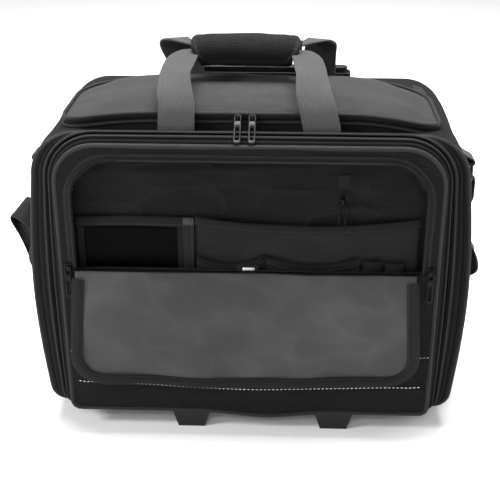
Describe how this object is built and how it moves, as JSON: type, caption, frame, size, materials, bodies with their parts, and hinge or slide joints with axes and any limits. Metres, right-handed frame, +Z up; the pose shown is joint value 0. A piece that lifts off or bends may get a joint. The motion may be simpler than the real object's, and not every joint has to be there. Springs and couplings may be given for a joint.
{
  "type": "rolling pilot case",
  "caption": "Soft-sided rolling pilot case with a zipped lid, tilting front compartment, organizer pocket, carry handles, trolley handle and shoulder strap.",
  "frame": {"origin": "on the floor under the middle of the case's outer box", "axes": "+X to the right of the case seen from its front, -Y out of the front panel, +Z up"},
  "size_m": [0.5311, 0.264, 0.421],
  "materials": {
    "ballistic_nylon": "coarse woven ballistic nylon, matt",
    "gusset_nylon": "fine plain weave, matt",
    "lining_satin": "soft satin lining with a slight sheen",
    "board": "stiff board",
    "piping": "cord covered in woven tape",
    "moulded_plastic": "fine moulded texture",
    "button_plastic": "smooth",
    "wheel_hub": "smooth moulded",
    "wheel_tyre": "smooth rubber",
    "steel": "zinc plated",
    "outer_tube": "anodised black",
    "bright_tube": "satin anodised",
    "zip_tape": "woven tape with moulded coil",
    "gunmetal": "dark nickel plated",
    "black_pull": "black lacquer",
    "handle_webbing": "ribbed webbing with a slight sheen",
    "grip_fabric": "padded fine weave with bound edges",
    "strap_webbing": "woven webbing"
  },
  "bodies": {
    "body": {"side_panel_left": "ballistic_nylon", "side_panel_right": "ballistic_nylon", "base_panel": "ballistic_nylon", "top_gusset": "ballistic_nylon", "lid_gusset": "gusset_nylon", "main_front_wall": "ballistic_nylon", "trolley_lining": "lining_satin", "back_panel": "ballistic_nylon", "base_board": "board", "divider": "lining_satin", "front_gusset_rear": "gusset_nylon", "outer_piping": "piping", "rear_piping": "piping", "front_feet": "moulded_plastic", "wheel_housings": "moulded_plastic", "axles": "steel", "housing_screws": "steel", "trolley_bracket": "moulded_plastic", "trolley_outer_tubes": "outer_tube", "trolley_bezel": "moulded_plastic", "bottle_pocket": "ballistic_nylon", "ring_tabs": "handle_webbing", "shoulder_strap": "strap_webbing"},
    "lid": {"lid_shell": "ballistic_nylon", "lid_zip": "zip_tape"},
    "lid_slider_left": {"lid_slider_left": "gunmetal"},
    "lid_slider_right": {"lid_slider_right": "gunmetal"},
    "lid_pull_left": {"lid_pull_left": "gunmetal"},
    "lid_pull_right": {"lid_pull_right": "gunmetal"},
    "front_handle": {"front_handle": "handle_webbing", "front_grip": "grip_fabric"},
    "rear_handle": {"rear_handle": "handle_webbing", "rear_grip": "grip_fabric"},
    "front_compartment": {"front_panel": "ballistic_nylon", "front_gusset": "gusset_nylon", "inner_piping": "piping", "organizer_lining": "lining_satin", "organizer_pockets": "lining_satin", "key_tab": "handle_webbing", "pocket_zip": "zip_tape", "pocket_sliders": "gunmetal"},
    "pocket_flap": {"pocket_flap": "lining_satin"},
    "key_hook": {"key_hook": "gunmetal"},
    "front_slider_left": {"front_slider_left": "gunmetal"},
    "front_slider_right": {"front_slider_right": "gunmetal"},
    "front_pull_left": {"front_pull_left": "gunmetal"},
    "front_pull_right": {"front_pull_right": "gunmetal"},
    "pocket_pull_left": {"pocket_pull_left": "black_pull"},
    "pocket_pull_right": {"pocket_pull_right": "black_pull"},
    "strap_hook_left": {"strap_hook_left": "moulded_plastic"},
    "strap_hook_right": {"strap_hook_right": "moulded_plastic"},
    "wheel_left": {"tyre_left": "wheel_tyre", "hub_left": "wheel_hub"},
    "wheel_right": {"tyre_right": "wheel_tyre", "hub_right": "wheel_hub"},
    "trolley_middle": {"trolley_mid_tubes": "bright_tube"},
    "trolley_upper": {"trolley_inner_tubes": "bright_tube", "trolley_grip": "moulded_plastic", "button_spring": "steel"},
    "release_button": {"release_button": "button_plastic"}
  },
  "joints": [
    {"name": "lid_open", "type": "hinge", "parent": "body", "child": "lid", "pos_m": [0, 0.072, 0.36], "axis": [-1, 0, 0], "range_deg": [0, 72]},
    {"name": "front_handle_swing", "type": "hinge", "parent": "body", "child": "front_handle", "pos_m": [0, -0.1075, 0.3495], "axis": [1, 0, 0], "range_deg": [0, 132]},
    {"name": "rear_handle_swing", "type": "hinge", "parent": "body", "child": "rear_handle", "pos_m": [0, 0.078, 0.361], "axis": [-1, 0, 0], "range_deg": [0, 72]},
    {"name": "lid_zip_left", "type": "slide", "parent": "lid", "child": "lid_slider_left", "axis": [-1, 0, 0], "range_m": [0, 0.038]},
    {"name": "lid_zip_right", "type": "slide", "parent": "lid", "child": "lid_slider_right", "axis": [1, 0, 0], "range_m": [0, 0.048]},
    {"name": "lid_pull_left_tilt", "type": "hinge", "parent": "lid_slider_left", "child": "lid_pull_left", "pos_m": [-0.012, -0.0982, 0.365], "axis": [-1, 0, 0], "range_deg": [0, 110]},
    {"name": "lid_pull_right_tilt", "type": "hinge", "parent": "lid_slider_right", "child": "lid_pull_right", "pos_m": [0.003, -0.0982, 0.365], "axis": [-1, 0, 0], "range_deg": [0, 110]},
    {"name": "front_panel_tilt", "type": "hinge", "parent": "body", "child": "front_compartment", "pos_m": [0, -0.121, 0.025], "axis": [1, 0, 0], "range_deg": [0, 25]},
    {"name": "front_zip_left", "type": "slide", "parent": "front_compartment", "child": "front_slider_left", "axis": [-1, 0, 0], "range_m": [0, 0.1]},
    {"name": "front_zip_right", "type": "slide", "parent": "front_compartment", "child": "front_slider_right", "axis": [1, 0, 0], "range_m": [0, 0.1]},
    {"name": "front_pull_left_tilt", "type": "hinge", "parent": "front_slider_left", "child": "front_pull_left", "pos_m": [-0.02, -0.114, 0.3453], "axis": [0, 1, 0], "range_deg": [0, 100]},
    {"name": "front_pull_right_tilt", "type": "hinge", "parent": "front_slider_right", "child": "front_pull_right", "pos_m": [0.014, -0.114, 0.3453], "axis": [0, -1, 0], "range_deg": [0, 100]},
    {"name": "flap_close", "type": "hinge", "parent": "front_compartment", "child": "pocket_flap", "pos_m": [0, -0.1303, 0.201], "axis": [-1, 0, 0], "range_deg": [0, 180]},
    {"name": "key_hook_swing", "type": "hinge", "parent": "front_compartment", "child": "key_hook", "pos_m": [0.098, -0.1158, 0.292], "axis": [0, 1, 0], "range_deg": [-35, 35]},
    {"name": "pocket_pull_left_tilt", "type": "hinge", "parent": "front_compartment", "child": "pocket_pull_left", "pos_m": [-0.1935, -0.1297, 0.204], "axis": [-1, 0, 0], "range_deg": [0, 100]},
    {"name": "pocket_pull_right_tilt", "type": "hinge", "parent": "front_compartment", "child": "pocket_pull_right", "pos_m": [0.1935, -0.1297, 0.204], "axis": [-1, 0, 0], "range_deg": [0, 100]},
    {"name": "strap_hook_left_swing", "type": "hinge", "parent": "body", "child": "strap_hook_left", "pos_m": [-0.2432, -0.021, 0.295], "axis": [0, 1, 0], "range_deg": [0, 20]},
    {"name": "strap_hook_right_swing", "type": "hinge", "parent": "body", "child": "strap_hook_right", "pos_m": [0.2432, -0.021, 0.295], "axis": [0, -1, 0], "range_deg": [0, 20]},
    {"name": "wheel_left_spin", "type": "hinge", "parent": "body", "child": "wheel_left", "pos_m": [-0.172, 0.1, 0.03], "axis": [1, 0, 0], "continuous": true},
    {"name": "wheel_right_spin", "type": "hinge", "parent": "body", "child": "wheel_right", "pos_m": [0.172, 0.1, 0.03], "axis": [1, 0, 0], "continuous": true},
    {"name": "trolley_lower_stage", "type": "slide", "parent": "body", "child": "trolley_middle", "axis": [0, 0, 1], "range_m": [0, 0.25]},
    {"name": "trolley_upper_stage", "type": "slide", "parent": "trolley_middle", "child": "trolley_upper", "axis": [0, 0, 1], "range_m": [0, 0.25]},
    {"name": "button_press", "type": "slide", "parent": "trolley_upper", "child": "release_button", "axis": [0, 0, -1], "range_m": [0, 0.003], "stiffness_N_per_m": 300, "springref_m": -0.002, "deforming": ["button_spring"]}
  ],
  "couplings": [
    {"joint": "front_handle_swing", "follows": "lid_open", "ratio": 1.83},
    {"joint": "rear_handle_swing", "follows": "lid_open", "ratio": 1}
  ]
}
